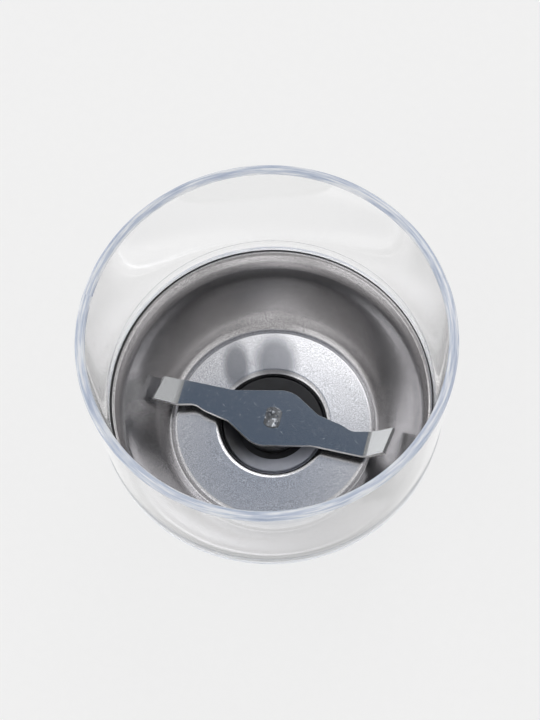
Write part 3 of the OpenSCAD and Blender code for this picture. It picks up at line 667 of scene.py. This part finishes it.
def blade(material):
    """Stamped S-shaped blade: cut flat, then both tips folded up round their bends."""
    bend_l = TIP_BEND_R * TIP_ANGLE
    end = BLADE_FLAT_L + bend_l + TIP_LEN
    half = [
        (end + TIP_SLANT / 2, WING_LEAD_W + TIP_SKEW, 0),
        (BLADE_FLAT_L, WING_LEAD_W, BEND_ROUND),
        (WAIST_X, WAIST_W, WAIST_ROUND),
        (HIP_X, HIP_W, HIP_ROUND),
        (NECK_X, NECK_W, NECK_ROUND),
        (CROWN_X, CROWN_W, CROWN_ROUND),
        (-TRAIL_X, TRAIL_W, TRAIL_ROUND),
        (-BLADE_FLAT_L, WING_TRAIL_W, BEND_ROUND),
        (-end + TIP_SLANT / 2, WING_TRAIL_W - TIP_SKEW, 0),
    ]
    corners = half + [(-x, -y, rounding) for x, y, rounding in half]
    bm = bmesh.new()
    verts = [bm.verts.new((x, y, BLADE_TOP_Z)) for x, y, _ in corners]
    bm.faces.new(verts)
    round_corners(bm, verts, [rounding for _, _, rounding in corners], closed=True)
    lower = bmesh.ops.extrude_face_region(bm, geom=bm.faces[:])["geom"]
    lower = [item for item in lower if isinstance(item, bmesh.types.BMVert)]
    bmesh.ops.translate(bm, vec=(0, 0, -BLADE_T), verts=lower)
    bmesh.ops.recalc_face_normals(bm, faces=bm.faces[:])
    # The bend is cut into narrow strips, which are then folded one after the other, the outermost first
    folds = [BLADE_FLAT_L + bend_l * (k + 0.5) / TIP_FOLDS for k in range(TIP_FOLDS)]
    for side in (1, -1):
        for x in folds:
            bmesh.ops.bisect_plane(bm, geom=bm.verts[:] + bm.edges[:] + bm.faces[:], dist=WELD,
                                   plane_co=(side * x, 0, 0), plane_no=(1, 0, 0))
    bevel_sharp(bm, BLADE_EDGE)
    flat_x = {v: v.co.x for v in bm.verts}
    for side in (1, -1):
        for x in reversed(folds):
            beyond = [v for v, flat in flat_x.items() if side * flat > x + WELD]
            bmesh.ops.rotate(bm, cent=(side * x, 0, BLADE_TOP_Z), verts=beyond,
                             matrix=Matrix.Rotation(-side * TIP_ANGLE / TIP_FOLDS, 3, "Y"))
    piece("stamped_blade", bm, material, "rotor", "blade_steel", "blade")


# Floor and light

FLOOR_SIZE = 8.0
# Softboxes: direction from the cup as azimuth from straight behind it and elevation, then the half angles
# inside which the box is bright and outside which it is gone, all in degrees, then its radiance
SOFTBOXES = [
    (20, 52, 12, 18, 1.6),
    (-50, 16, 10, 30, 0.9),
    (-85, 28, 20, 55, 0.18),
    (88, 28, 20, 50, 0.3),
    (180, 3, 12, 26, 0.6),
    (125, 24, 15, 40, 0.25),
    (-125, 24, 15, 40, 0.7),
]
# The grey studio around them has one dark opening overhead, given in the same way, which the blade mirrors
STUDIO_GREY = "#C2C1C0"
STUDIO_DARK = "#6A7B92"
OPENING = (-2, 73, 6, 8.5)


def add_floor(material):
    """Plain pale floor."""
    bm = bmesh.new()
    bmesh.ops.create_grid(bm, x_segments=1, y_segments=1, size=FLOOR_SIZE / 2)
    mesh = bpy.data.meshes.new("studio_floor")
    bm.to_mesh(mesh)
    bm.free()
    mesh.materials.append(material)
    floor = bpy.data.objects.new("studio_floor", mesh)
    scene.collection.objects.link(floor)


def add_light():
    """Grey studio with softboxes round the cup and one dark opening overhead."""
    world = bpy.data.worlds.new("studio_light")
    world.use_nodes = True
    tree = world.node_tree
    tree.nodes.clear()
    sky = add(tree, "ShaderNodeTexCoord").outputs["Generated"]

    def lobe(azimuth, elevation, inner, outer, middle_level):
        """Level round a direction: none beyond the outer half angle, and its most within the inner one."""
        azimuth, elevation, inner, outer = map(math.radians, (azimuth, elevation, inner, outer))
        level = math.cos(elevation)
        toward = Vector((math.sin(azimuth) * level, math.cos(azimuth) * level, math.sin(elevation)))
        toward = PHOTO_TURN @ toward
        nearness = add(tree, "ShaderNodeVectorMath", {0: sky, 1: toward}, operation="DOT_PRODUCT")
        return add(tree, "ShaderNodeMapRange", {
            "Value": nearness.outputs["Value"], "From Min": math.cos(outer), "From Max": math.cos(inner),
            "To Max": middle_level,
        }, interpolation_type="SMOOTHSTEP").outputs["Result"]

    around = add(tree, "ShaderNodeValToRGB", {"Fac": lobe(*OPENING, 1.0)},
                 stops=[(0.0, STUDIO_GREY), (1.0, STUDIO_DARK)]).outputs["Color"]
    light = add(tree, "ShaderNodeBackground", {"Color": around}).outputs["Background"]
    for softbox in SOFTBOXES:
        box = add(tree, "ShaderNodeBackground", {"Color": linear("#FFFFFF"), "Strength": lobe(*softbox)})
        light = add(tree, "ShaderNodeAddShader", {0: light, 1: box.outputs["Background"]}).outputs["Shader"]
    add(tree, "ShaderNodeOutputWorld", {"Surface": light})
    scene.world = world
    scene.view_settings.view_transform = "Standard"


# Assembly

def finish_node(node, material):
    """Give a CAD node that stays its finished material."""
    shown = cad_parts[node]
    shown.data.materials.clear()
    shown.data.materials.append(material)


add_camera()

base_grey = moulding("abs_base_pale_grey", "#C2C4C6", "#CCCED0", roughness=0.5, grit_mm=0.5)
coupling_black = moulding("glass_filled_nylon_black", "#1D1D1F", "#2B2B2E", roughness=0.5, grit_mm=0.4)
zinc = bright_metal("zinc_plated_steel", "#B4B7BA", "#CDD0D2", roughness=0.3)
ground_steel = shaft_steel()
spring_steel = bright_metal("oiled_spring_steel", "#55575A", "#6E7073", roughness=0.35)
bronze = bright_metal("sintered_bronze", "#8A6238", "#A87B48", roughness=0.5)
black_silicone = soft_moulding("black_silicone", "#262628", "#343436", roughness=0.45, grain_mm=2)
felt = soft_moulding("wool_felt", "#8A7858", "#A8946E", roughness=0.95, grain_mm=0.6)
nylon = soft_moulding("black_nylon", "#101112", "#18191A", roughness=0.45, grain_mm=3)

clear_wall(clear_san())
rim_seal(black_silicone)
steel_bowl(satin_stainless())
hub(hub_plastic())
blade(stamped_stainless())

# CAD nodes whose edges are broken, each with the width of its broken edge
for name, width, material, body, slot in [
    ("cup_base", 0.25 * MM, base_grey, "cup", "base_plastic"),
    ("bayonet_ring", 0.25 * MM, base_grey, "cup", "base_plastic"),
    ("base_plate", 0.3 * MM, base_grey, "cup", "base_plastic"),
    ("base_screws", 0.2 * MM, zinc, "cup", "zinc_steel"),
    ("housing_washer", 0.12 * MM, zinc, "cup", "zinc_steel"),
    ("housing_nut", 0.4 * MM, zinc, "cup", "zinc_steel"),
    ("blade_collar", 0.3 * MM, coupling_black, "rotor", "collar_plastic"),
    ("drive_shaft", 0.12 * MM, ground_steel, "rotor", "shaft_steel"),
    ("drive_coupling", 0.3 * MM, coupling_black, "rotor", "coupling_plastic"),
]:
    piece(name + "_finished", softened(name, width), material, body, slot, name)

# CAD nodes that stay as they are
for name, material in [
    ("housing_gasket", black_silicone),
    ("shaft_seal", black_silicone),
    ("upper_bush", bronze),
    ("lower_bush", bronze),
    ("oil_felt", felt),
    ("upper_thrust_washer", nylon),
    ("lower_thrust_washer", nylon),
    ("retaining_clip", spring_steel),
    ("coupling_pin", spring_steel),
]:
    finish_node(name, material)

add_floor(light_table())
add_light()
